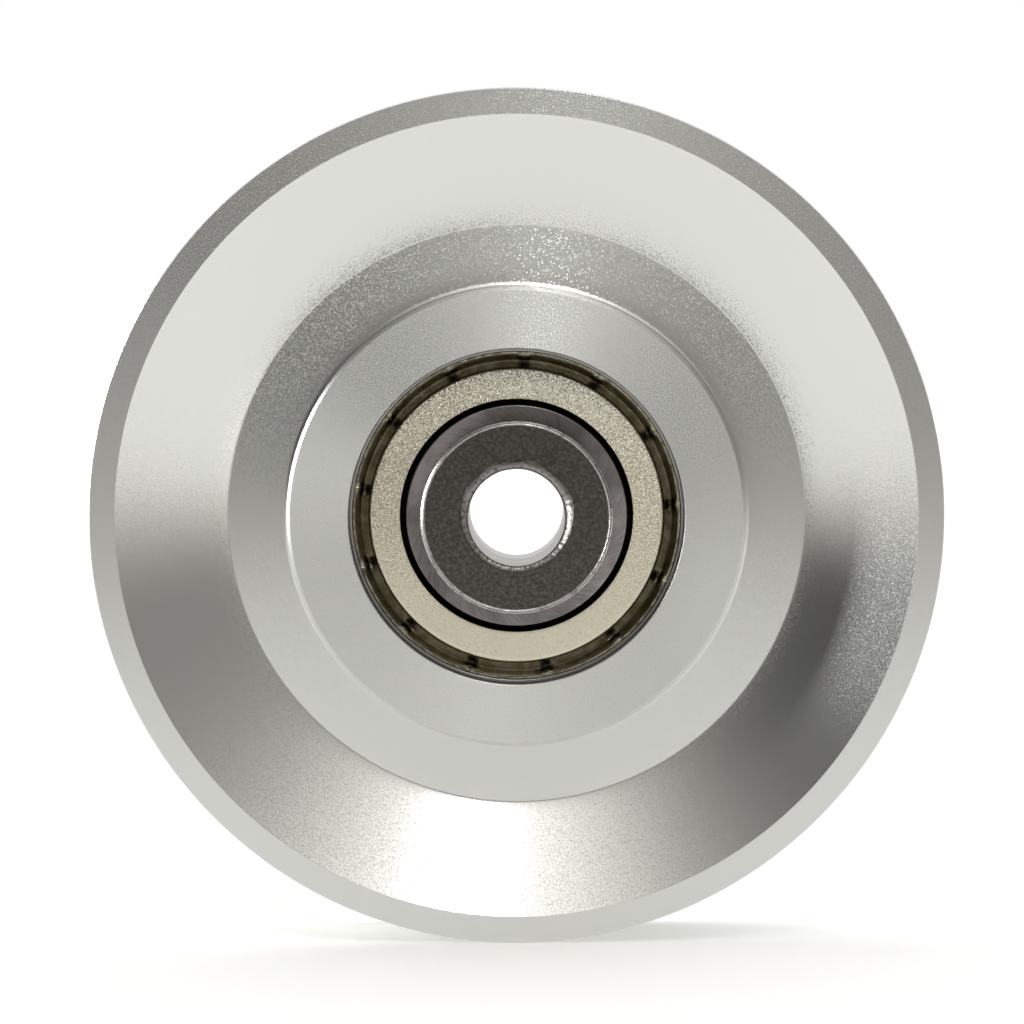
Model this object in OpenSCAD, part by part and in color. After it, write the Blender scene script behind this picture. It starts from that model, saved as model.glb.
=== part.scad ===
// V groove wheel: a turned steel wheel that runs on an angle rail. A sealed-for-life ball
// bearing sits in its hub, held by a lip in front and a retaining ring behind, and two
// flanged bushes bring the bearing's bore down to the axle bolt.
// Lengths are millimetres and angles degrees. The axle lies along Z, the wheel's middle
// plane is z = 0, and the lip side of the hub faces +Z.

/* [Rim] */
// Outside diameter of the rim
wheel_d = 90; // [86:0.5:110]
// Width of the rim across its two flat faces
rim_w = 18; // [17.5:0.5:26]
// Radial width of the flat land on each rim face
rim_land = 2.75; // [1:0.25:4]
// Chamfer on the rim's outer edges
rim_chamfer = 0.3; // [0.1:0.1:0.6]
// Included angle of the V groove
groove_angle = 90; // [80:5:110]
// Width of the crest on each side of the V groove, with its chamfer
crest_w = 1.2; // [0.8:0.1:2.5]
// Width of the flat at the bottom of the V groove
groove_root_w = 2; // [0.5:0.25:2.5]

/* [Web] */
// Thickness of the flat web between hub and dish
web_t = 6; // [4:0.5:9]
// Diameter where the flat web ends and the conical dish begins
web_d = 61.4; // [54:0.2:70]
// Fillet between the web and the hub
web_fillet = 0.6; // [0.2:0.1:1.5]

/* [Hub] */
// Outside diameter of the hub
hub_d = 48.4; // [47:0.2:52]
// Thickness of the lip in front of the bearing
lip_t = 3; // [2:0.25:4]
// Radial width of the bearing's outer ring that the lip covers
lip_cover = 2.35; // [1.5:0.05:2.5]
// Wall behind the groove of the retaining ring
clip_land = 1.15; // [1:0.05:3]
// Chamfer round each hub face
hub_chamfer = 0.35; // [0.1:0.05:0.8]
// Chamfer at the mouth of the lip, and at the mouth of the bearing seat behind
mouth_chamfer = 0.25; // [0.1:0.05:0.6]

/* [Bearing] */
// Outside diameter of the bearing
bearing_d = 40; // [39:0.1:41]
// Bore of the bearing
bearing_bore = 17; // [15:0.1:17.5]
// Width of the bearing
bearing_w = 12; // [11.6:0.1:13]
// Rounding of the bearing rings' outer corners
ring_corner = 0.6; // [0.2:0.1:0.9]
// Diameter of each ball
ball_d = 6.747; // [6.35:0.001:6.9]
// Play between a ball and the bottom of each raceway
ball_play = 0.02; // [0.01:0.01:0.05]
// Raceway groove radius as a share of the ball's diameter
race_conformity = 0.52; // [0.515:0.005:0.54]
// Depth of each raceway below the shoulders beside it
race_depth = 1.24; // [1:0.02:1.5]
// Step down from the inner ring's shoulder to its face, beneath the shields
inner_step = 0.4; // [0.2:0.05:0.8]
// Step up from the outer ring's shoulder to the seat of each shield
outer_step = 1; // [0.6:0.05:1.3]
// Depth of the groove that each shield snaps into
snap_depth = 0.25; // [0.15:0.05:0.4]

/* [Shields] */
// Thickness of the shield's sheet
shield_t = 0.3; // [0.2:0.05:0.4]
// Distance of the shield's flat ring below the bearing's face
shield_recess = 0.25; // [0.1:0.05:0.4]
// Radial gap between a shield and the face of the inner ring
shield_gap = 0.6; // [0.2:0.05:1]
// Depth of the channel pressed round the shield's flat ring
channel_depth = 0.8; // [0.5:0.1:0.9]
// Width of the floor of that channel
channel_w = 1.1; // [0.8:0.1:1.5]
// Width of the curl round the shield's edge
curl_w = 0.96; // [0.8:0.02:1.1]
// Number of snap tabs that the shield's edge is slit into
tab_count = 13; // [9:1:16]
// Width of the slit between two tabs
slit_w = 0.2; // [0.1:0.05:0.4]
// Direction of the first slit, counted anticlockwise from +X
slit_start = 87.1; // [60:0.1:120]

/* [Cage] */
// Thickness of the cage's sheet
cage_t = 0.6; // [0.4:0.05:0.7]
// Gap between the cage's ribbon and the shoulders of the two rings
cage_gap = 0.8; // [0.5:0.05:1.2]
// Gap between a ball and its pocket
pocket_gap = 0.1; // [0.06:0.01:0.15]
// Diameter of each rivet's shank
rivet_d = 1; // [0.6:0.1:1.1]
// Width of each rivet's head beyond its shank
rivet_rim = 0.35; // [0.2:0.05:0.4]
// Height of each rivet's head
rivet_head_h = 0.35; // [0.2:0.05:0.5]

/* [Bushes] */
// Bore for the axle bolt
axle_bore = 10.1; // [8:0.1:12.2]
// Outside diameter of the bush flange
flange_d = 20.2; // [19:0.1:22]
// Length of the flange, from the bearing's face outwards
flange_l = 5; // [3.5:0.1:8]
// Chamfer round the flange's outer face
flange_chamfer = 0.35; // [0.1:0.05:0.6]
// Radial width of the countersink at the mouth of the axle bore
sink_w = 0.65; // [0.2:0.05:1.5]
// Included angle of that countersink
sink_angle = 90; // [60:5:120]
// Gap between the two bushes where they meet inside the bearing
bush_gap = 0.1; // [0.05:0.05:0.4]
// Break on the bore's edge where the two bushes meet
bush_break = 0.15; // [0.05:0.05:0.3]

/* [Retaining ring] */
// Thickness of the retaining ring
clip_t = 1.75; // [1.5:0.05:1.9]
// Depth of its groove below the bearing seat
clip_groove_depth = 1.25; // [0.9:0.05:1.4]
// Spare width of its groove
clip_play = 0.1; // [0.05:0.05:0.2]
// Radial width of the ring opposite its lugs
clip_w_max = 3.9; // [3.2:0.1:4.2]
// Radial width of the ring beside its lugs
clip_w_min = 2.2; // [1.9:0.1:2.6]
// Radial length of the lugs
lug_l = 5.2; // [4.6:0.1:5.4]
// Width of each lug
lug_w = 4.6; // [4:0.1:5.2]
// Diameter of the plier hole in each lug
plier_hole_d = 2.5; // [2:0.1:2.8]
// Distance between the two lugs
lug_gap = 6.5; // [4:0.5:9]
// Direction of the ring's opening, counted anticlockwise from +X
clip_turn = 270; // [0:5:355]

/* [Fits] */
// Radial clearance of the parts that are pressed into one another
press_gap = 0.02; // [0.01:0.005:0.03]
// Radial clearance of the parts that are only held in place
seat_gap = 0.04; // [0.02:0.01:0.08]

/* [Hidden] */
$fn = 96;

// One node of its own for each ball, so the number of balls stays as it is.
ball_count = 8;
ball_step = 360 / ball_count;
// Cuts run past the face they open by this much.
past = 1;

wheel_r = wheel_d / 2;
hub_r = hub_d / 2;
seat_r = bearing_d / 2 + press_gap;
groove_open_w = rim_w - 2 * crest_w;
groove_depth = (groove_open_w - groove_root_w) / 2 / tan(groove_angle / 2);
clip_groove_r = seat_r + clip_groove_depth;
clip_groove_w = clip_t + clip_play;
// The hub's two faces, and the bore of its lip.
front_z = bearing_w / 2 + lip_t;
rear_z = -bearing_w / 2 - clip_groove_w - clip_land;
lip_r = bearing_d / 2 - lip_cover;

ball_r = ball_d / 2;
// The balls run midway between the bearing's bore and its outside.
pitch_r = (bearing_bore + bearing_d) / 4;
race_r = race_conformity * ball_d;
outer_race_r = pitch_r + ball_r + ball_play - race_r;
inner_race_r = pitch_r - ball_r - ball_play + race_r;
outer_shoulder_r = outer_race_r + race_r - race_depth;
inner_shoulder_r = inner_race_r - race_r + race_depth;
inner_face_r = inner_shoulder_r - inner_step;
// Height of the shield's flat ring and of its channel floor, at the upper face of the sheet.
shield_z = bearing_w / 2 - shield_recess;
channel_z = shield_z - channel_depth;
// The shield rests on the ledge of its seat.
ledge_z = channel_z - shield_t;
shield_seat_r = outer_shoulder_r + outer_step;
snap_r = shield_seat_r + snap_depth;
// The shield's curled edge, the channel within it and the flat ring within that.
curl_r = snap_r - seat_gap;
floor_r = curl_r - curl_w;
flat_r = floor_r - channel_w;

cage_r = inner_shoulder_r + cage_gap;
cage_w = outer_shoulder_r - cage_gap - cage_r;
rivet_ring_r = cage_r + cage_w / 2;

spigot_r = bearing_bore / 2 - press_gap;
sink_depth = sink_w / tan(sink_angle / 2);
bush_z = bearing_w / 2 + flange_l;

// One half of the wheel's section outside the bearing seat, from the far edge of the groove's
// root to a hub face at height face. The corner between hub and web is filled, and the
// fillet's circle cut out.
module wheel_half_section(face) {
    foot = [hub_r, web_t / 2];
    difference() {
        polygon([
            [seat_r, -groove_root_w / 2],
            [seat_r, face - mouth_chamfer], [seat_r + mouth_chamfer, face],
            [hub_r - hub_chamfer, face], [hub_r, face - hub_chamfer],
            foot + [0, web_fillet], foot + [web_fillet, 0], [web_d / 2, web_t / 2],
            [wheel_r - rim_land, rim_w / 2], [wheel_r - rim_chamfer, rim_w / 2],
            [wheel_r, rim_w / 2 - rim_chamfer], [wheel_r, groove_open_w / 2],
            [wheel_r - groove_depth, groove_root_w / 2],
            [wheel_r - groove_depth, -groove_root_w / 2]
        ]);
        translate(foot + [web_fillet, web_fillet]) circle(web_fillet);
    }
}

// The lip in front of the bearing.
module lip_section() {
    polygon([
        [lip_r, bearing_w / 2], [lip_r, front_z - mouth_chamfer],
        [lip_r + mouth_chamfer, front_z], [hub_r - hub_chamfer, front_z],
        [hub_r - hub_chamfer, bearing_w / 2]
    ]);
}

// Rim, dished web and hub, turned from one piece.
module wheel_body() {
    color([0.78, 0.78, 0.77]) rotate_extrude() difference() {
        union() {
            wheel_half_section(front_z);
            mirror([0, 1]) wheel_half_section(-rear_z);
            lip_section();
        }
        translate([seat_r - past, -bearing_w / 2 - clip_groove_w])
            square([clip_groove_depth + past, clip_groove_w]);
    }
}

// Flat shape of the retaining ring: widest opposite its opening, with a lug at each end.
module retaining_ring_outline() {
    r = clip_groove_r - seat_gap;
    shift = (clip_w_max - clip_w_min) / 2;
    bore_r = r - (clip_w_max + clip_w_min) / 2;
    lug_a = asin((lug_gap + lug_w) / 2 / r);
    difference() {
        union() {
            difference() {
                circle(r);
                translate([shift, 0]) circle(bore_r);
            }
            for (side = [-1, 1]) intersection() {
                circle(r);
                rotate(side * lug_a) translate([r - lug_l + lug_w / 2, 0]) union() {
                    circle(d = lug_w);
                    translate([0, -lug_w / 2]) square([lug_l, lug_w]);
                }
            }
        }
        translate([0, -lug_gap / 2]) square([r + past, lug_gap]);
        for (side = [-1, 1]) rotate(side * lug_a)
            translate([r - lug_l + lug_w / 2, 0]) circle(d = plier_hole_d);
    }
}

// Spring ring in the groove behind the bearing.
module retaining_ring() {
    color([0.22, 0.22, 0.23])
        translate([0, 0, -bearing_w / 2 - clip_t]) linear_extrude(clip_t)
        rotate(clip_turn) retaining_ring_outline();
}

// Section of a ring's blank from radius a to b over the bearing's width, with its corners
// rounded on the seat side, which is the outside where out is true.
module ring_blank(a, b, out) {
    difference() {
        translate([a, -bearing_w / 2]) square([b - a, bearing_w]);
        for (side = [0, 1]) mirror([0, side])
            translate([out ? b : a, bearing_w / 2]) mirror([out ? 1 : 0, 0]) mirror([0, 1])
            translate([-past, -past]) difference() {
                square(ring_corner + past);
                translate([ring_corner + past, ring_corner + past]) circle(ring_corner);
                translate([ring_corner + past, 0]) square(ring_corner + past);
                translate([0, ring_corner + past]) square(ring_corner + past);
            }
    }
}

// Outer ring with its raceway, and a stepped seat with a snap groove for each shield.
module bearing_outer_ring() {
    color([0.72, 0.71, 0.70]) rotate_extrude() difference() {
        ring_blank(outer_shoulder_r, bearing_d / 2, true);
        translate([outer_race_r, 0]) circle(race_r);
        for (side = [0, 1]) mirror([0, side]) {
            translate([outer_shoulder_r - past, ledge_z])
                square([outer_step + past, bearing_w]);
            translate([outer_shoulder_r, ledge_z])
                square([snap_r - outer_shoulder_r, shield_t + curl_w / 2]);
        }
    }
}

// Inner ring with its raceway, stepped down beneath the shields.
module bearing_inner_ring() {
    color([0.45, 0.44, 0.44]) rotate_extrude() difference() {
        ring_blank(bearing_bore / 2, inner_shoulder_r, false);
        translate([inner_race_r, 0]) circle(race_r);
        for (side = [0, 1]) mirror([0, side])
            translate([inner_face_r, ledge_z]) square([inner_step + past, bearing_w]);
    }
}

// Ball number i, counted anticlockwise from +X.
module ball(i) {
    color([0.85, 0.85, 0.86]) rotate((i - 1) * ball_step)
        translate([pitch_r, 0, 0]) sphere(ball_r);
}

// Front half of the pressed ribbon cage: a round pocket over each ball and a flat land with
// a rivet hole between each two. The two halves meet on the middle plane.
module cage_half() {
    pocket_r = ball_r + pocket_gap;
    difference() {
        intersection() {
            difference() {
                cylinder(r = cage_r + cage_w, h = ball_d);
                translate([0, 0, -past]) cylinder(r = cage_r, h = ball_d + 2 * past);
            }
            union() {
                cylinder(r = cage_r + cage_w + past, h = cage_t);
                for (i = [1:ball_count]) rotate((i - 1) * ball_step)
                    translate([pitch_r, 0, 0]) sphere(pocket_r + cage_t);
            }
        }
        for (i = [1:ball_count]) {
            rotate((i - 1) * ball_step) translate([pitch_r, 0, 0]) sphere(pocket_r);
            rotate((i - 0.5) * ball_step) translate([rivet_ring_r, 0, -past])
                cylinder(d = rivet_d + 2 * seat_gap, h = cage_t + 2 * past);
        }
    }
}

module cage_front() {
    color([0.70, 0.66, 0.52]) cage_half();
}

module cage_rear() {
    color([0.70, 0.66, 0.52]) mirror([0, 0, 1]) cage_half();
}

// Rivets through the lands of both halves, each with a domed head at either end.
module cage_rivets() {
    head_r = rivet_d / 2 + rivet_rim;
    // Radius of the dome that gives the head its diameter and height.
    dome_r = (pow(head_r, 2) + pow(rivet_head_h, 2)) / 2 / rivet_head_h;
    color([0.62, 0.60, 0.55]) for (i = [1:ball_count])
        rotate((i - 0.5) * ball_step) translate([rivet_ring_r, 0, 0]) {
            translate([0, 0, -cage_t]) cylinder(d = rivet_d, h = 2 * cage_t);
            for (side = [0, 1]) mirror([0, 0, side]) translate([0, 0, cage_t]) intersection() {
                translate([0, 0, rivet_head_h - dome_r]) sphere(dome_r);
                cylinder(r = head_r + past, h = rivet_head_h);
            }
        }
}

// Half section of the shield. The sheet keeps its thickness all the way: a flat ring, a step
// down to the channel, and an edge curled over into the snap groove.
module shield_section() {
    bore_r = inner_face_r + shield_gap;
    translate([bore_r, shield_z - shield_t]) square([flat_r - bore_r, shield_t]);
    translate([flat_r - shield_t, channel_z - shield_t])
        square([shield_t, channel_depth + shield_t]);
    translate([flat_r - shield_t, channel_z - shield_t])
        square([channel_w + 2 * shield_t, shield_t]);
    translate([curl_r - shield_t, ledge_z]) square([shield_t, shield_t]);
    intersection() {
        translate([curl_r - curl_w / 2, channel_z]) difference() {
            circle(curl_w / 2);
            circle(curl_w / 2 - shield_t);
        }
        translate([floor_r, channel_z]) square(curl_w);
    }
}

// Pressed sheet shield. Its edge is slit into tabs so that it can spring into the groove.
module shield() {
    difference() {
        rotate_extrude() shield_section();
        for (i = [0:tab_count - 1]) rotate(slit_start + i * 360 / tab_count)
            translate([flat_r, -slit_w / 2, 0]) cube([curl_r, slit_w, bearing_w]);
    }
}

module front_shield() {
    color([0.75, 0.72, 0.62]) shield();
}

module rear_shield() {
    color([0.75, 0.72, 0.62]) mirror([0, 0, 1]) shield();
}

// Flanged bush: the flange stands on the bearing's inner ring, and the spigot fills half of
// the bearing's bore.
module bush() {
    bore_r = axle_bore / 2;
    end_z = bush_gap / 2;
    rotate_extrude() polygon([
        [bore_r, end_z + bush_break], [bore_r, bush_z - sink_depth], [bore_r + sink_w, bush_z],
        [flange_d / 2 - flange_chamfer, bush_z], [flange_d / 2, bush_z - flange_chamfer],
        [flange_d / 2, bearing_w / 2], [spigot_r, bearing_w / 2],
        [spigot_r, end_z + bush_break], [spigot_r - bush_break, end_z],
        [bore_r + bush_break, end_z]
    ]);
}

module front_bush() {
    color([0.30, 0.28, 0.27]) bush();
}

module rear_bush() {
    color([0.30, 0.28, 0.27]) mirror([0, 0, 1]) bush();
}

wheel_body();
retaining_ring();
bearing_outer_ring();
bearing_inner_ring();
ball(1);  // ball_1
ball(2);  // ball_2
ball(3);  // ball_3
ball(4);  // ball_4
ball(5);  // ball_5
ball(6);  // ball_6
ball(7);  // ball_7
ball(8);  // ball_8
cage_front();
cage_rear();
cage_rivets();
front_shield();
rear_shield();
front_bush();
rear_bush();
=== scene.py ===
import bpy
import numpy as np
from mathutils import Matrix, Vector


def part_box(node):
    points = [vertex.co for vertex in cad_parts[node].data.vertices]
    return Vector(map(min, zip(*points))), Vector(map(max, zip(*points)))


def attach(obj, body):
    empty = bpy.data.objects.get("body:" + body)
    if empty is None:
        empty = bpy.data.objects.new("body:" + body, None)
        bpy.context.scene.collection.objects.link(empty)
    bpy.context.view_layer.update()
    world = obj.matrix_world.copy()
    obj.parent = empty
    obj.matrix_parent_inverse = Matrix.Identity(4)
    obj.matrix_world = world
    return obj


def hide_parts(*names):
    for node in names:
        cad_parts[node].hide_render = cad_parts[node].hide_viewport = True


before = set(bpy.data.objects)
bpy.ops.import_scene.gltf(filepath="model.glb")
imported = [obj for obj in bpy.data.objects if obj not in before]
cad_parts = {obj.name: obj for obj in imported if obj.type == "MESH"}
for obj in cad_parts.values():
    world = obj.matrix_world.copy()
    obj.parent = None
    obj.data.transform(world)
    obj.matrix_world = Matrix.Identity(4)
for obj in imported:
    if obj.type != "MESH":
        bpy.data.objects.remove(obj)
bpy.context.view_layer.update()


# ---------------------------------------------------------------- wheel
# The wheel is one steel turning: a rim with a V groove round it, a conical dish and a flat
# web on either side, and a hub that carries the bearing. It is bright zinc plated, which
# leaves a fine grain over the turned faces.

MM = 0.001


def reach(node):
    """How far a CAD node reaches out from the axle and up from the middle plane, in mm."""
    low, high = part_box(node)
    return round(high[0] / MM, 2), round(high[2] / MM, 2)


def rounded(corners, steps=5):
    """Turns corners (r, z, radius) in millimetres, listed anticlockwise in the r-z plane, into
    a closed outline. A corner with a radius becomes an arc that touches both its sides: it
    starts radius * tan(turn / 2) before the corner, and its points lie at equal angles round a
    centre that is one radius away from both sides. Returns the points, and the outward
    normals at the start and the end of the stretch that leaves each point."""
    c = np.array([k[:2] for k in corners], float)
    radius = np.array([k[2] for k in corners], float)
    ahead = np.roll(c, -1, 0) - c
    ahead /= np.linalg.norm(ahead, axis=1)[:, None]
    back = np.roll(ahead, 1, 0)
    cross = back[:, 0] * ahead[:, 1] - back[:, 1] * ahead[:, 0]
    turn = np.arctan2(cross, (back * ahead).sum(1))
    points, first, last = [], [], []
    for i in range(len(c)):
        before = np.array([back[i, 1], -back[i, 0]])
        after = np.array([ahead[i, 1], -ahead[i, 0]])
        if radius[i] == 0:
            points.append(c[i][None])
            first.append(after[None])
            last.append(after[None])
            continue
        side = np.sign(turn[i])
        start = c[i] - back[i] * radius[i] * np.tan(abs(turn[i]) / 2)
        centre = start - before * side * radius[i]
        a = np.linspace(0, turn[i], steps + 1)
        n = np.stack([before[0] * np.cos(a) - before[1] * np.sin(a),
                      before[0] * np.sin(a) + before[1] * np.cos(a)], 1)
        points.append(centre + n * side * radius[i])
        first.append(n)
        last.append(np.vstack([n[1:], after[None]]))
    return np.vstack(points), np.vstack(first), np.vstack(last)


def closed_grid(name, verts):
    """A mesh from an array of rows by columns of points, closed both ways: row k meets row
    k + 1 and the last row meets the first, and so do the columns."""
    rows, cols = verts.shape[:2]
    k, j = np.meshgrid(np.arange(rows), np.arange(cols), indexing="ij")
    k1, j1 = (k + 1) % rows, (j + 1) % cols
    quads = np.stack([k * cols + j, k * cols + j1, k1 * cols + j1, k1 * cols + j], -1)
    mesh = bpy.data.meshes.new(name)
    mesh.from_pydata(verts.reshape(-1, 3), [], quads.reshape(-1, 4))
    mesh.polygons.foreach_set("use_smooth", np.ones(len(mesh.polygons), bool))
    piece = bpy.data.objects.new(name, mesh)
    bpy.context.scene.collection.objects.link(piece)
    return piece


def lathe(name, corners, turns=720):
    """A closed solid of revolution about Z. Point k of the outline at turn angle a lies at
    (r cos a, r sin a, z), and every corner of a face takes the outline's own normal turned by
    the same angle, so that flats stay flat and arcs stay round."""
    outline, first, last = rounded(corners)
    a = np.linspace(0, 2 * np.pi, turns, endpoint=False)
    b = np.roll(a, -1)

    def spun(n, angle):
        r, z = n[:, 0, None], n[:, 1, None]
        return np.stack([r * np.cos(angle), r * np.sin(angle), z + 0 * angle], -1)

    piece = closed_grid(name, spun(outline * MM, a))
    normals = np.stack([spun(first, a), spun(first, b), spun(last, b), spun(last, a)], 2)
    piece.data.normals_split_custom_set(normals.reshape(-1, 3))
    return piece


def flipped(corners):
    """The same outline on the other side of the middle plane."""
    return [(r, -z, radius) for r, z, radius in reversed(corners)]


rim_r, rim_z = reach("wheel_body")
bearing_r, bearing_z = reach("bearing_outer_ring")
dish_r, web_r, web_z = rim_r - 2.75, 30.7, 3.0
hub_r, hub_z = 24.2, rim_z
groove_z, root_z = rim_z - 1.2, 1.0
root_r = rim_r - (groove_z - root_z)             # the sides of the V stand at 45 degrees
lip_r, seat_r = bearing_r - 2.35, bearing_r + 0.02
clip_r, clip_z = seat_r + 1.25, 7.85             # floor and rear wall of the retaining ring's groove
rim_edge, hub_edge, lip_edge, mouth_edge = 0.1, 0.35, 0.14, 0.25
keen, plated, crest_break = 0.03, 0.06, 0.08     # how round the plating leaves the edges
root_round, web_round, web_fillet = 0.3, 0.5, 0.6

face = [(root_r, root_z, root_round), (rim_r, groove_z, crest_break),
        (rim_r, rim_z - rim_edge, keen), (rim_r - rim_edge, rim_z, keen),
        (dish_r, rim_z, crest_break), (web_r, web_z, web_round), (hub_r, web_z, web_fillet),
        (hub_r, hub_z - hub_edge, plated), (hub_r - hub_edge, hub_z, plated)]
front_bore = [(lip_r + lip_edge, hub_z, keen), (lip_r, hub_z - lip_edge, keen),
              (lip_r, bearing_z, 0), (seat_r, bearing_z, 0)]
rear_bore = [(seat_r, -bearing_z, 0), (clip_r, -bearing_z, 0), (clip_r, -clip_z, 0),
             (seat_r, -clip_z, 0), (seat_r, -hub_z + mouth_edge, 0),
             (seat_r + mouth_edge, -hub_z, 0.05)]
wheel = lathe("turned_wheel", rear_bore + flipped(face) + face + front_bore)


class Amount:
    """A number that a finish works out at each point of a surface. Sums written with it become
    nodes of that finish."""

    def __init__(self, finish, socket):
        self.finish, self.socket = finish, socket

    def __add__(self, other):
        return self.finish.math("ADD", self, other)

    def __sub__(self, other):
        return self.finish.math("SUBTRACT", self, other)

    def __rsub__(self, other):
        return self.finish.math("SUBTRACT", other, self)

    def __mul__(self, other):
        return self.finish.math("MULTIPLY", self, other)

    def __truediv__(self, other):
        return self.finish.math("DIVIDE", self, other)

    def __pow__(self, other):
        return self.finish.math("POWER", self, other)

    def __abs__(self):
        return self.finish.math("ABSOLUTE", self)

    __radd__, __rmul__ = __add__, __mul__

    def ramp(self, start, end, low, high, kind="SMOOTHSTEP"):
        """Goes from low to high as this amount goes from start to end."""
        inputs = {"Value": self, "From Min": start, "From Max": end, "To Min": low, "To Max": high}
        return self.finish.amount("MapRange", 0, inputs, interpolation_type=kind)

    def step(self, start, end, low=0, high=1):
        """The same for a distance, with start and end in millimetres."""
        return self.ramp(start * MM, end * MM, low, high)

    def band(self, start, full, fade, end):
        """For a distance in millimetres: 1 from full to fade, 0 before start and past end."""
        return self.step(start, full) * self.step(fade, end, 1, 0)


class Finish:
    """A material and the nodes that it is made of. An input given as an amount or a socket is
    linked, and an input given as a plain value is set."""

    def __init__(self, name):
        self.material = bpy.data.materials.new(name)
        self.material.use_nodes = True
        self.tree = self.material.node_tree
        self.tree.nodes.clear()

    def node(self, kind, inputs=None, **settings):
        """A new shader node of this kind."""
        made = self.tree.nodes.new("ShaderNode" + kind)
        for key, value in settings.items():
            setattr(made, key, value)
        for key, value in (inputs or {}).items():
            value = getattr(value, "socket", value)
            if isinstance(value, bpy.types.NodeSocket):
                self.tree.links.new(value, made.inputs[key])
            else:
                made.inputs[key].default_value = value
        return made

    def amount(self, kind, output, inputs=None, **settings):
        """What a new node of this kind puts out, as an amount."""
        return Amount(self, self.node(kind, inputs, **settings).outputs[output])

    def math(self, op, *values):
        return self.amount("Math", 0, dict(enumerate(values)), operation=op)

    def vector(self, op, *values):
        return self.node("VectorMath", dict(enumerate(values)), operation=op).outputs["Vector"]

    def scaled(self, direction, by):
        made = self.node("VectorMath", {0: direction, "Scale": by}, operation="SCALE")
        return made.outputs["Vector"]

    def parts(self, direction):
        """The three parts of a direction, a place or a colour, as amounts."""
        return [Amount(self, out) for out in self.node("SeparateXYZ", {0: direction}).outputs]

    def joined(self, *parts):
        return self.node("CombineXYZ", dict(enumerate(parts))).outputs[0]

    def polar(self):
        """Where a point of the piece lies: its place, its distance from the axle, the way
        outwards, its height over the middle plane, and its turn angle."""
        place = self.node("TexCoord").outputs["Object"]
        x, y, z = self.parts(place)
        flat = self.joined(x, y)
        radius = self.amount("VectorMath", "Value", {0: flat}, operation="LENGTH")
        return place, radius, self.vector("NORMALIZE", flat), z, self.math("ARCTAN2", y, x)

    def noise(self, at, size, detail=1.0):
        """An uneven amount about 0.5, in patches of this size in millimetres."""
        inputs = {"Vector": at, "Scale": 1 / (size * MM), "Detail": detail}
        return self.amount("TexNoise", "Fac", inputs)

    def jitter(self, at, size, detail=1.0):
        """An uneven direction about nought, in patches of this size in millimetres."""
        inputs = {"Vector": at, "Scale": 1 / (size * MM), "Detail": detail}
        return self.vector("SUBTRACT", self.node("TexNoise", inputs).outputs["Color"], (0.5, 0.5, 0.5))

    def leaning(self, *leans):
        """The surface's own normal, leaned along each direction by its amount."""
        normal = self.node("NewGeometry").outputs["Normal"]
        for direction, amount in leans:
            normal = self.vector("ADD", normal, self.scaled(direction, amount))
        return self.vector("NORMALIZE", normal)

    def surface(self, kind, inputs):
        """Ends the material with this shader, and gives the material back."""
        self.node("OutputMaterial", {"Surface": self.node(kind, inputs).outputs[0]})
        return self.material

    def metal(self, colour, roughness, normal, turned=None):
        """Ends the material as bare metal, with what its turning marks add."""
        return self.surface("BsdfPrincipled", {
            "Base Color": colour, "Metallic": 1.0, "Roughness": roughness, "Normal": normal,
            **(turned or {})})


def bright_zinc():
    """Zinc plate over turned steel. Each patch of grain leans in or out by its tilt times how
    coarse the grain is there: even on the dish, and on the flats growing from the -Y side to
    the +Y side. The hub is rougher and mottled, and its wall, with the fillet at its foot, and
    the lip's bore are painted darker: painted shade."""
    zinc_white = (0.80, 0.80, 0.768)
    grain_size, mottle_size = 0.17, 0.15
    dish_grain, least_grain, rim_share = 0.42, 0.08, 0.68
    even_lean, sideways_lean = 0.048, 0.03
    zinc = Finish("bright_zinc")
    place, radius, outwards, height, angle = zinc.polar()
    on_hub = radius.step(hub_r - 0.6, hub_r + 0.4, 1, 0)
    on_dish = radius.band(web_r, web_r + 0.4, dish_r - 0.1, dish_r)
    # Painted shade: the hub's wall and the fillet at its foot are made darker.
    on_wall = radius.band(hub_r - 0.2, hub_r - 0.1, hub_r + 0.1, hub_r + 0.3)
    on_wall = on_wall * abs(height).step(hub_z - 0.40, hub_z - 0.32, 1, 0)
    # Painted shade: the lip's bore is darkened to a fifth.
    out_of_bore = radius.step(lip_r + 0.02, lip_r + 0.08, 0.2, 1)

    grain = zinc.jitter(place, grain_size)
    towards_top = zinc.math("SINE", angle).ramp(-1, 1, 0, 1, "LINEAR") ** 3
    by_ring = radius.step(web_r + 1.3, dish_r - 1.25, 1, rim_share)
    flat_grain = least_grain + towards_top * by_ring
    coarse = flat_grain * (1 - on_dish) + dish_grain * on_dish
    lean = even_lean + zinc.parts(grain)[0] * coarse

    mottle = (zinc.noise(place, mottle_size) - 0.5) * 0.30
    tone = 1 + on_hub * mottle - on_wall * 0.4 - on_hub * 0.06
    roughness = 0.28 + on_wall * 0.15 + on_hub * 0.14 - on_dish * 0.06
    along_turning = zinc.node("Tangent", direction_type="RADIAL", axis="Z").outputs[0]
    return zinc.metal(
        zinc.scaled(zinc_white, tone * out_of_bore), roughness,
        zinc.leaning((outwards, lean), (grain, sideways_lean)),
        {"Anisotropic": 0.70, "Anisotropic Rotation": 0.25, "Tangent": along_turning})


wheel.data.materials.append(bright_zinc())
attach(wheel, "wheel")
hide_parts("wheel_body")


# ---------------------------------------------------------------- retaining ring
# A stamped spring ring of dark oiled steel. It sits in the groove behind the bearing, with two
# lugs for circlip pliers.

def keep(cad_nodes, mat):
    """CAD pieces whose shape needs nothing more take this material."""
    for name in cad_nodes:
        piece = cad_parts[name]
        piece.data.materials.clear()
        piece.data.materials.append(mat)


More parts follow.
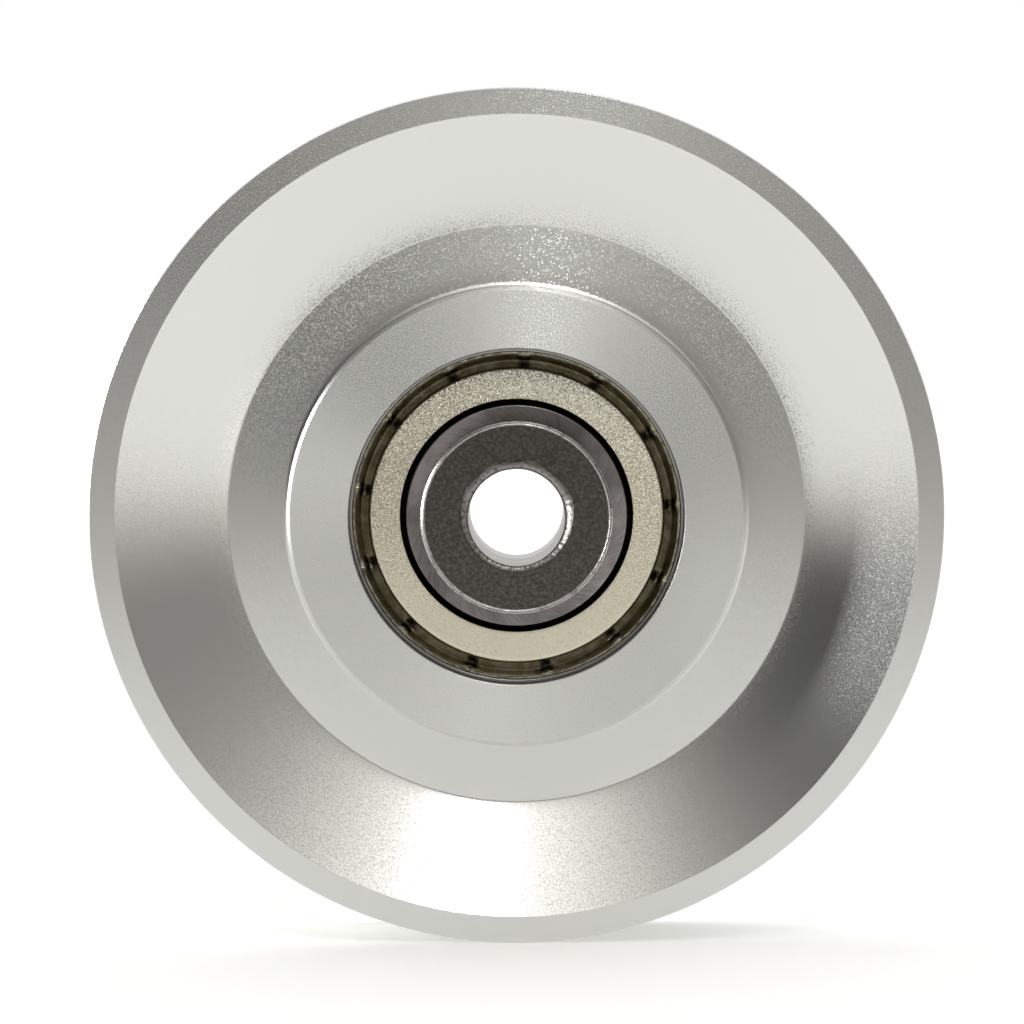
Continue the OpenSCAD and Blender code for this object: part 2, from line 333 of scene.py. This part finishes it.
def plain_metal(name, colour, roughness, grain_size=0.3, lean=0.08, stain=0.0):
    """A metal whose surface leans a little at random, darkened in patches by stains."""
    finish = Finish(name)
    place = finish.node("TexCoord").outputs["Object"]
    shade = finish.noise(place, 3.0, 3.0).ramp(0.35, 0.7, 1 - stain, 1)
    wobble = finish.jitter(place, grain_size)
    return finish.metal(finish.scaled(colour, shade), roughness, finish.leaning((wobble, lean)))


keep(["retaining_ring"], plain_metal("oiled_spring_steel", (0.10, 0.10, 0.105), 0.38, stain=0.3))


# ---------------------------------------------------------------- bearing rings
# Both rings are hardened bearing steel, ground all over. The outer ring is pressed into the hub
# and has a stepped seat on either side for the shields; the inner ring is stepped down beneath
# them, and the flanges of the two bushes hold it.

ring_corner, bore_r = 0.6, 8.5
shoulder_r, shield_seat_r, snap_r = 16.40, 17.40, 17.65
ledge_z, snap_z = 4.65, 5.43
race_depth, race_z, race_floor, race_round = 1.22, 2.66, 0.9, 1.5

outer_half = [(bearing_r, bearing_z, ring_corner), (shield_seat_r, bearing_z, 0.08),
              (shield_seat_r, snap_z, 0), (snap_r, snap_z, 0), (snap_r, ledge_z, 0),
              (shoulder_r, ledge_z, 0.1), (shoulder_r, race_z, 0.05),
              (shoulder_r + race_depth, race_floor, race_round)]
outer_ring = lathe("bearing_outer_ring_ground", outer_half + flipped(outer_half), 360)
outer_ring.data.materials.append(
    plain_metal("ground_bearing_steel", (0.60, 0.60, 0.59), 0.28, 0.2, lean=0.06, stain=0.1))
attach(outer_ring, "wheel")
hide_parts("bearing_outer_ring")

inner_shoulder_r = reach("bearing_inner_ring")[0]
inner_face_r = inner_shoulder_r - 0.4
inner_half = [(inner_shoulder_r - race_depth, race_floor, race_round),
              (inner_shoulder_r, race_z, 0.05), (inner_shoulder_r, ledge_z, 0.05),
              (inner_face_r, ledge_z, 0), (inner_face_r, bearing_z, 0.16),
              (bore_r, bearing_z, ring_corner)]
inner_ring = lathe("bearing_inner_ring_ground", inner_half + flipped(inner_half), 360)


def ground_inner_ring():
    """Grinding marks sweep across the face in shallow arcs: an uneven amount that changes fast
    with 9 mm times the turn angle less 0.9 of the radius, and slowly across that. The face is
    painted lighter and darker round the ring, painted light and shade, and painted nearly
    black where the shields cover it: painted shade, with grease."""
    # Painted light and shade: a level for each share of the turn, clockwise from +Y.
    painted_light_levels = [0.37, 0.33, 0.48, 0.64, 0.58, 0.45, 0.46, 0.38, 0.37, 0.44, 0.80, 0.70, 0.37]
    brown_steel = (0.305, 0.280, 0.270)
    steel = Finish("ground_inner_ring")
    place, radius, outwards, height, angle = steel.polar()
    swept = angle * (9 * MM) - radius * 0.9
    marks = steel.noise(steel.joined(swept, radius * 0.06, height), 0.07, 2.0)

    clock = steel.math("FRACT", 0.25 - angle / (2 * np.pi))
    painted_light = steel.node("ValToRGB", {"Fac": clock})
    steps = len(painted_light_levels) - 1
    for k in range(1, steps):
        painted_light.color_ramp.elements.new(k / steps)
    for element, level in zip(painted_light.color_ramp.elements, painted_light_levels):
        element.color = (level, level, level, 1)
    shade = steel.parts(painted_light.outputs["Color"])[0] * 2
    shade = shade * marks.ramp(0.3, 0.7, 0.82, 1.15)
    shade = shade * steel.noise(place, 2.5, 2.0).ramp(0.3, 0.7, 0.80, 1.12)
    # Painted shade, with grease: beneath the shields the ring is made nearly black.
    shade = shade * abs(height).step(bearing_z - 0.6, bearing_z - 0.2, 0.04, 1)

    roughness = abs(height).step(bearing_z - 0.5, bearing_z - 0.2, 0.9, 0.36)
    return steel.metal(steel.scaled(brown_steel, shade), roughness,
                       steel.leaning((outwards, 0.04 + (marks - 0.5) * 0.26)))


inner_ring.data.materials.append(ground_inner_ring())
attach(inner_ring, "axle_core")
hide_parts("bearing_inner_ring")


# ---------------------------------------------------------------- balls, cage and rivets
# Eight polished steel balls run between the rings. Two ribbons pressed from sheet steel, riveted
# back to back between the balls, keep them apart, and a film of grease lies on the ribbons'
# inner edge.

keep([f"ball_{i}" for i in range(1, 9)],
     plain_metal("polished_balls", (0.72, 0.72, 0.73), 0.06, lean=0.0))
keep(["cage_front", "cage_rear"],
     plain_metal("pressed_ribbon_steel", (0.52, 0.50, 0.45), 0.35, stain=0.3))
keep(["cage_rivets"], plain_metal("rivet_steel", (0.50, 0.49, 0.46), 0.30, stain=0.2))

# The grease is dark and dull and closes the view through the gap between shield and inner ring: grease,
# and painted shade there too.
grease_bore_r, grease_r, grease_z = 12.02, 12.86, 2.1
grease_half = [(grease_r, grease_z, 0.2), (grease_bore_r, grease_z, 0.2)]
grease = lathe("grease_film", grease_half + flipped(grease_half), 180)
grease.data.materials.append(Finish("brown_grease").surface("BsdfPrincipled", {
    "Base Color": (0.040, 0.028, 0.014, 1), "Roughness": 0.6, "Specular IOR Level": 0.15}))
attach(grease, "cage")


# ---------------------------------------------------------------- shields
# Each shield is pressed from thin sheet steel: a flat ring, a channel round it, and an edge
# curled into the outer ring and crimped in thirteen places. Its passivated skin is matt beige,
# and the channel is painted dark: painted shade, with settled oil.

crimps, first_crimp, crimp_r = 13, 87.1, 16.7
shield_bore_r, flat_r, floor_r, curl_r = 12.30, 15.55, 16.60, 17.61
shield_z, sheet_t = bearing_z - 0.25, 0.3
channel_z = shield_z - 0.8
crest_r, crest_z = curl_r - 0.39, snap_z


def pressed_shield(name, side):
    """The sheet's outline swept about Z, with columns crowded towards each crimp: column u of a
    sector, from -1 to 1, lies |u|^2.2 of half a sector away from it. With s the distance round
    from the nearest crimp, in millimetres, the channel floor sinks by exp(-(s/0.5)^2), the
    inside of the curl is pushed inwards by exp(-(|s/0.5|/width)^1.6), with a width that differs
    from crimp to crimp, and the crest is dented by a notch exp(-(s/0.14)^2) a little aside. A
    slow sum of sines keeps the crest from being perfectly even."""
    sink_depth, push_depth, notch_depth, waves = 0.30, 0.22, 0.10, 0.012
    crowding, crimp_w, notch_w, longest_step = 2.2, 0.5, 0.14, 0.14
    wall_r = flat_r - 0.32
    outline = rounded([
        (shield_bore_r, shield_z - sheet_t, 0.02), (wall_r, shield_z - sheet_t, 0.05),
        (wall_r, channel_z - sheet_t, 0.05), (curl_r, channel_z - sheet_t, 0.02),
        (curl_r, crest_z, 0.3), (floor_r + 0.45, crest_z, 0.25), (floor_r - 0.2, channel_z, 0.5),
        (flat_r + 0.06, channel_z, 0.12), (flat_r, shield_z, 0.22),
        (shield_bore_r, shield_z, 0.06)], steps=8)[0]
    leg = np.roll(outline, -1, 0) - outline
    parts = np.clip(np.hypot(*leg.T) / longest_step, 1, 9).astype(int)
    share = np.concatenate([np.arange(n) / n for n in parts])
    outline = np.repeat(outline, parts, 0) + np.repeat(leg, parts, 0) * share[:, None]

    u = np.linspace(-1, 1, 48, endpoint=False)
    half = np.pi / crimps
    offset = np.sign(u) * abs(u) ** crowding * half
    centres = np.radians(first_crimp) + np.arange(crimps) * 2 * half
    a = (centres[:, None] + offset).ravel()
    s = np.tile(offset, crimps) * crimp_r
    number = np.repeat(np.arange(crimps), len(u))
    r, z = outline[:, 0, None] + 0 * a, outline[:, 1, None] + 0 * a

    def band(v, low, high, soft):
        return np.clip((v - low) / soft, 0, 1) * np.clip((high - v) / soft, 0, 1)

    uneven = np.sin(5 * a + 1) + np.sin(11 * a) + np.sin(23 * a + 2)
    width = 0.85 + 0.3 * np.sin(number * 2.3)
    aside = 0.18 * np.sin(number * 1.7)
    over_channel = z > channel_z + 0.15
    on_floor = band(r, flat_r + 0.2, floor_r + 0.25, 0.35) * (z > channel_z - 0.1)
    in_curl = band(r, floor_r - 0.1, crest_r + 0.03, 0.2) * band(z, channel_z + 0.03, crest_z + 0.12, 0.2)
    on_crest = band(r, floor_r + 0.3, curl_r + 0.09, 0.2) * over_channel
    sink = sink_depth * np.exp(-(s / crimp_w) ** 2) * on_floor
    push = push_depth * np.exp(-(abs(s / crimp_w) / width) ** 1.6) * in_curl
    notch = notch_depth * np.exp(-((s - aside) / notch_w) ** 2) * on_crest
    r = r - push
    wave = waves * uneven * band(r, floor_r - 0.1, curl_r + 0.09, 0.3) * over_channel
    z = z - sink - notch + wave
    verts = np.stack([r * np.cos(a), r * np.sin(a), z], -1) * MM
    if side < 0:
        verts = verts[::-1] * [1, 1, -1]
    piece = closed_grid(name, verts)
    piece.data.set_sharp_from_angle(angle=np.radians(40))
    return piece


def greatest(first, *others):
    """The greatest of several amounts at each point."""
    for other in others:
        first = first.finish.math("MAXIMUM", first, other)
    return first


def mixed(share, base, other):
    """A colour that goes from base to other as share goes from 0 to 1."""
    return share.finish.node("Mix", {0: share, 6: base, 7: other}, data_type="RGBA").outputs[2]


def beige_shield_sheet():
    """Matt sheet whose fine beads lean at random, most of all on the flat ring towards +Y.
    The channel and the edge of the bore are painted dark: painted shade, with settled oil. Along
    the curl's crest, in patches, and beside each crimp the painted shade is lifted as painted
    highlights, and each crimp's dent in the channel has a painted shadow. Where the beads lean
    most their colour is lightened and darkened at random, a painted glitter, and the sheet is
    darker on the side towards -X and +Y: painted shade."""
    clean, speck = (0.90, 0.835, 0.665, 1), (0.25, 0.22, 0.15, 1)
    dirt_and_shade, shade = (0.094, 0.078, 0.038, 1), (0.012, 0.010, 0.006, 1)
    shaded_side = (-0.87, 0.5, 0)
    sheet = Finish("beige_shield_sheet")
    place, radius, outwards, _, angle = sheet.polar()

    towards_top = sheet.parts(place)[1].ramp(-15 * MM, 15 * MM, 0, 1, "LINEAR") ** 2.2
    coarse = towards_top * radius.step(flat_r - 0.15, flat_r + 0.05, 1, 0.12)
    beads = sheet.jitter(place, 0.17)
    normal = sheet.leaning((beads, 0.14 + coarse * 2.2), (outwards, 0.012))

    pitch = 2 * np.pi / crimps
    turn = (angle - np.radians(first_crimp)) / pitch
    from_crimp = abs(turn - sheet.math("ROUND", turn)) * (pitch * crimp_r * MM)
    in_bore = radius.step(shield_bore_r + 0.02, shield_bore_r + 0.10, 1, 0)
    # Painted highlight: along the curl's crest the painted shade is lifted in patches.
    painted_light = radius.band(crest_r - 0.12, crest_r - 0.02, crest_r + 0.02, crest_r + 0.12)
    painted_light = painted_light * sheet.noise(place, 0.8, 3.0).ramp(0.35, 0.6, 0.25, 0.85)
    # Painted highlight beside each crimp: the painted shade is partly lifted there.
    painted_glint = radius.band(floor_r + 0.3, floor_r + 0.45, crest_r - 0.02, crest_r + 0.14)
    painted_glint = painted_glint * from_crimp.step(0.2, 0.7, 1, 0)
    # Painted shade, with settled oil: the channel and the edge of the bore are darkened.
    shade_and_grime = greatest(radius.step(flat_r - 0.05, flat_r + 0.11), in_bore)
    shade_and_grime = shade_and_grime * sheet.noise(place, 1.2, 2.0).ramp(0.3, 0.75, 1.0, 0.90)
    shade_and_grime = shade_and_grime * (1 - greatest(painted_light, painted_glint * 0.55))
    # Painted shadow in the dent of each crimp.
    in_channel = radius.band(flat_r - 0.05, flat_r + 0.15, floor_r + 0.2, floor_r + 0.4)
    shadow = from_crimp.step(0.30, 0.85, 1, 0) * in_channel

    # Painted glitter: the colour is lightened and darkened at random where the beads lean most.
    painted_sparkle = 1 + coarse * (sheet.noise(place, 0.13, 0.0) - 0.5) * 2.6
    # Painted shade: the sheet is darker on the side towards -X and +Y.
    direction = sheet.amount("VectorMath", "Value", {0: outwards, 1: shaded_side},
                             operation="DOT_PRODUCT")
    specks = sheet.noise(place, 0.3, 0.0).ramp(0.70, 0.76, 0, 1)
    colour = mixed(specks * 0.2, clean, speck)
    colour = sheet.scaled(colour, painted_sparkle * direction.ramp(0.4, 1.0, 1, 0.84))
    colour = mixed(shadow * 0.72, mixed(shade_and_grime, colour, dirt_and_shade), shade)
    roughness = greatest(shade_and_grime.ramp(0, 1, 0.36, 0.33), in_bore * 0.8)
    return sheet.metal(colour, roughness, normal)


shield_skin = beige_shield_sheet()
for name, side, cad_node in (("shield_front_pressed", 1, "front_shield"),
                             ("shield_rear_pressed", -1, "rear_shield")):
    piece = pressed_shield(name, side)
    piece.data.materials.append(shield_skin)
    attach(piece, "wheel")
    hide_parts(cad_node)


# ---------------------------------------------------------------- bushes
# Two flanged bushes are pressed into the bearing's bore from either side. They are turned from
# steel with a dark oiled skin, bare where wear has reached the edges, with painted highlights
# along the flange's chamfer, and bare in the countersink, which was cut by hand and chattered.

axle_r, spigot_r, meet_z = 5.05, bore_r - 0.02, 0.05
flange_r, flange_z = reach("front_bush")
flange_edge, spigot_edge = 0.35, 0.15
widest_sink_r = 6.28


def turned_bush(name, side):
    """The bush's outline swept about Z in 720 columns. The rim of the countersink wanders
    with the turn angle between given radii, joined by straight lines and then smoothed, and
    its cone carries a ripple, a sum of sines of high order, that dies out at both its ends."""
    a = np.linspace(0, 2 * np.pi, 720, endpoint=False)
    clock = (90 - np.degrees(a)) % 360
    rim_clock = [0, 15, 38, 70, 98, 130, 180, 235, 270, 303, 320, 338, 352, 360]
    rim_radius = [5.86, 6.30, 5.92, 6.22, 5.90, 5.74, 5.68, 5.72, 5.84, 6.20, 5.92, 6.28, 5.92, 5.86]
    sink_r = np.interp(clock, rim_clock, rim_radius)
    blend = np.hanning(13) / np.hanning(13).sum()
    sink_r = np.convolve(np.r_[sink_r[-6:], sink_r, sink_r[:6]], blend, "valid")
    sink_r = sink_r + 0.012 * np.sin(37 * a) + 0.010 * np.sin(61 * a + 1)
    least_sink_r, least_deep, below_sink, ripple = 5.6, 0.35, 0.15, 0.006
    deep = least_deep + (sink_r - least_sink_r) * 1.1

    up = np.linspace(0, 1, 12)[:, None]
    chatter = np.sin(47 * a + 5 * up) + np.sin(83 * a - 7 * up) + np.sin(29 * a + 9 * up)
    cone_r = axle_r + 0.02 + (sink_r - axle_r) * up ** 0.85
    cone_z = flange_z - deep * (1 - up ** 1.6) + ripple * np.sin(up * np.pi) * chatter
    bore = np.array([(axle_r + spigot_edge, meet_z), (axle_r, meet_z + spigot_edge)])
    outside = rounded([
        (flange_r - flange_edge, flange_z, 0.07), (flange_r, flange_z - flange_edge, 0.07),
        (flange_r, bearing_z, 0.05), (spigot_r, bearing_z, 0),
        (spigot_r, meet_z + spigot_edge, 0), (spigot_r - spigot_edge, meet_z, 0)])[0]
    r = np.vstack([bore[:, :1] + 0 * a, axle_r + 0 * a, cone_r, outside[:, :1] + 0 * a])
    z = np.vstack([bore[:, 1:] + 0 * a, flange_z - deep - below_sink, cone_z, outside[:, 1:] + 0 * a])
    verts = np.stack([r * np.cos(a), r * np.sin(a), z], -1)[::-1] * MM
    if side < 0:
        verts = verts[::-1] * [1, 1, -1]
    piece = closed_grid(name, verts)
    piece.data.set_sharp_from_angle(angle=np.radians(35))
    return piece


def dark_oiled_bush():
    """A mottled dark skin with scuffs along the turning. It is bare at both edges of the flange's
    chamfer, in patches: wear, and a painted highlight along those edges. It is bare from wear in
    spots on the countersink's cone and all round the mouth of the bore, and a darker line
    follows the countersink's rim."""
    skin_dark, skin_light = (0.082, 0.072, 0.063, 1), (0.150, 0.135, 0.122, 1)
    bare_steel = (0.66, 0.64, 0.62, 1)
    steel = Finish("dark_oiled_bush")
    place, radius, outwards, height, angle = steel.polar()
    level = abs(height)

    def near(at, width):
        """One close to this radius, and nothing a width away from it, in millimetres."""
        return abs(radius - at * MM).step(0.4 * width, width, 1, 0)

    # Wear, and a painted highlight along both edges of the flange's chamfer.
    wear_and_edge_highlight = greatest(near(flange_r - 0.34, 0.15), near(flange_r - 0.04, 0.15))
    wear_and_edge_highlight = wear_and_edge_highlight * steel.noise(place, 0.9, 3.0).ramp(0.30, 0.50, 0.45, 1)
    wear_and_edge_highlight = wear_and_edge_highlight * level.step(flange_z - 0.7, flange_z - 0.4)
    inside = radius.step(widest_sink_r, widest_sink_r + 0.06, 1, 0)
    sink_rim = inside * level.band(flange_z - 0.10, flange_z - 0.07, flange_z - 0.04, flange_z - 0.01)
    cone = inside * level.step(flange_z - 0.11, flange_z - 0.07, 1, 0)
    cone = cone * steel.noise(place, 0.35, 2.0).ramp(0.36, 0.42, 0.08, 0.36)
    cone = cone * (1 - radius.band(axle_r + 0.05, axle_r + 0.11, axle_r + 0.17, axle_r + 0.25))
    mouth = radius.step(axle_r + 0.01, axle_r + 0.09, 1, 0)
    bare = greatest(wear_and_edge_highlight, cone, mouth)

    skin = mixed(steel.noise(place, 0.35, 5.0).ramp(0.35, 0.75, 0, 1), skin_dark, skin_light)
    colour = mixed(bare, steel.scaled(skin, 1 - sink_rim * 0.75), bare_steel)
    roughness = greatest(bare.ramp(0, 1, 0.42, 0.25), inside * 0.42)
    scuffs = steel.noise(steel.joined(angle * (3 * MM), radius, height), 0.14, 3.0) - 0.5
    wobble = steel.jitter(place, 0.25, 3.0)
    lean = inside.ramp(0, 1, 1, 0.25)
    normal = steel.leaning((wobble, lean * 0.11), (outwards, lean * scuffs * 0.3))
    return steel.metal(colour, roughness, normal)


bush_skin = dark_oiled_bush()
for name, side, cad_node in (("bush_front_turned", 1, "front_bush"),
                             ("bush_rear_turned", -1, "rear_bush")):
    piece = turned_bush(name, side)
    piece.data.materials.append(bush_skin)
    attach(piece, "axle_core")
    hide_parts(cad_node)


# ---------------------------------------------------------------- studio
# The wheel stands on its rim on a white table, in front of a white backdrop. The room in front
# and above is dim, with a broad soft glow overhead and two small lamps.

table_y = -rim_r * MM
table_half, table_front, table_back = 2.0, 0.3, -2.5
table_mesh = bpy.data.meshes.new("table")
table_mesh.from_pydata([(-table_half, table_y, table_front), (table_half, table_y, table_front),
                        (table_half, table_y, table_back), (-table_half, table_y, table_back)],
                       [], [(0, 1, 2, 3)])
table = bpy.data.objects.new("table", table_mesh)
bpy.context.scene.collection.objects.link(table)


def white_table():
    """White paper that the camera sees as brighter than white, so that only the shadow under
    the wheel shows on it. The metal sees it glow a little, and from below it is clear."""
    paper_grey, camera_gain, glow_in_metal = 0.80, 0.78, 0.385
    paper = Finish("white_table")
    to_camera = paper.amount("LightPath", "Is Camera Ray")
    in_metal = greatest(paper.amount("LightPath", "Is Glossy Ray"),
                        paper.amount("LightPath", "Is Transmission Ray"))
    lit = paper.node("BsdfDiffuse", {"Color": paper_grey + to_camera * camera_gain})
    glow = paper.node("Emission", {"Color": (1, 1, 1, 1), "Strength": in_metal * glow_in_metal})
    sheet = paper.node("AddShader", {0: lit.outputs[0], 1: glow.outputs[0]})
    from_below = paper.amount("NewGeometry", "Backfacing") * to_camera
    clear = paper.node("BsdfTransparent")
    return paper.surface("MixShader", {0: from_below, 1: sheet.outputs[0], 2: clear.outputs[0]})


table_mesh.materials.append(white_table())

# The backdrop is pure white to the camera, and a little greyer in the metal and as light.
backdrop_light = 0.94
world = bpy.context.scene.world or bpy.data.worlds.new("backdrop")
bpy.context.scene.world = world
world.use_nodes = True
tree = world.node_tree
backdrop = tree.nodes["Background"]
backdrop.inputs["Color"].default_value = (1, 1, 1, 1)
rays = tree.nodes.new("ShaderNodeLightPath")
brightness = tree.nodes.new("ShaderNodeMapRange")
brightness.inputs["To Min"].default_value = backdrop_light
brightness.inputs["To Max"].default_value = 1.0
tree.links.new(rays.outputs["Is Camera Ray"], brightness.inputs["Value"])
tree.links.new(brightness.outputs[0], backdrop.inputs["Strength"])

# The dim room is a quarter sphere in front of the wheel and above it.
rows, cols, room_r = 48, 72, 1.6
up = np.radians(np.linspace(-14, 90, rows))[:, None]
along = np.radians(np.linspace(-2, 182, cols))[None]
points = np.stack([room_r * np.cos(up) * np.cos(along), room_r * np.sin(up) + 0 * along,
                   room_r * np.cos(up) * np.sin(along)], -1)
k, j = np.meshgrid(np.arange(rows - 1), np.arange(cols - 1), indexing="ij")
quads = np.stack([k * cols + j, (k + 1) * cols + j, (k + 1) * cols + j + 1, k * cols + j + 1], -1)
room_mesh = bpy.data.meshes.new("dim_room")
room_mesh.from_pydata(points.reshape(-1, 3), [], quads.reshape(-1, 4))
room = bpy.data.objects.new("dim_room", room_mesh)
bpy.context.scene.collection.objects.link(room)


def room_walls():
    """Walls whose light fades into the backdrop's within 9 degrees of the table's level, is
    stronger on the right than on the left, and swells overhead in an oval glow. The glow is
    exp(-(across^2 + down^2) / 2), with across and down counted in its own widths."""
    left_light, right_light = 0.05, 0.24
    fade, rise_in_front = np.sin(np.radians(9)), 0.096
    glow, glow_x, glow_wide, glow_high = 1.7, 0.085, 0.29, 0.26
    down_from_glow = (0, 0.588, -0.809)
    walls = Finish("room_walls")
    way = walls.vector("NORMALIZE", walls.node("TexCoord").outputs["Object"])
    x, y, z = walls.parts(way)
    across = (x - glow_x) / glow_wide
    down = walls.amount("VectorMath", "Value", {0: way, 1: down_from_glow}, operation="DOT_PRODUCT")
    down = down / glow_high
    lobe = walls.math("EXPONENT", (across * across + down * down) * -0.5) * glow
    dim = x.ramp(-0.8, 0.8, left_light, right_light, "LINEAR") + lobe
    share = (y + z * z * rise_in_front).ramp(-fade, fade, 0, 1)
    strength = backdrop_light + share * (dim - backdrop_light)
    return walls.surface("Emission", {"Color": (1, 0.985, 0.95, 1), "Strength": strength})


room_mesh.materials.append(room_walls())
room.visible_camera = False


def soft_lamp(name, clock, off_axis, wide, high, radiance):
    """A rectangular lamp 1 m from the wheel and facing it. clock is its direction in degrees
    clockwise from +Y as seen from +Z, and off_axis its angle from +Z. Its power is pi times
    its area times radiance, so radiance is what a mirror would show of it. The lamps serve
    the metal only: the table has its light from the room."""
    c, p = np.radians(clock), np.radians(off_axis)
    way = Vector((np.sin(p) * np.sin(c), np.sin(p) * np.cos(c), np.cos(p)))
    data = bpy.data.lights.new(name, "AREA")
    data.shape, data.size, data.size_y = "RECTANGLE", wide, high
    data.energy = radiance * np.pi * wide * high
    lamp = bpy.data.objects.new(name, data)
    lamp.matrix_world = Matrix.Translation(way) @ way.to_track_quat("Z", "Y").to_matrix().to_4x4()
    lamp.visible_camera = False
    lamp.visible_diffuse = False
    bpy.context.scene.collection.objects.link(lamp)


soft_lamp("overhead_core", clock=9, off_axis=51, wide=0.14, high=0.14, radiance=24.0)
soft_lamp("low_left", clock=281, off_axis=78, wide=0.55, high=0.18, radiance=32.0)

# The camera looks at the front of the hub from half a metre away, a little from above. Its
# shifts are shares of the frame's width.
distance, tilt = 0.5, np.radians(2.7)
lens = bpy.data.cameras.new("camera")
lens.sensor_width, lens.lens, lens.clip_start = 36.0, 164.3, 0.01
lens.shift_x, lens.shift_y = -0.0043945, 0.0008789
camera = bpy.data.objects.new("camera", lens)
eye = Vector((0, np.sin(tilt), np.cos(tilt)))
right = Vector((1, 0, 0))
facing = Matrix((right, eye.cross(right), eye)).transposed().to_4x4()
camera.matrix_world = Matrix.Translation(eye * distance) @ facing
bpy.context.scene.collection.objects.link(camera)
bpy.context.scene.camera = camera
bpy.context.scene.view_settings.view_transform = "Standard"
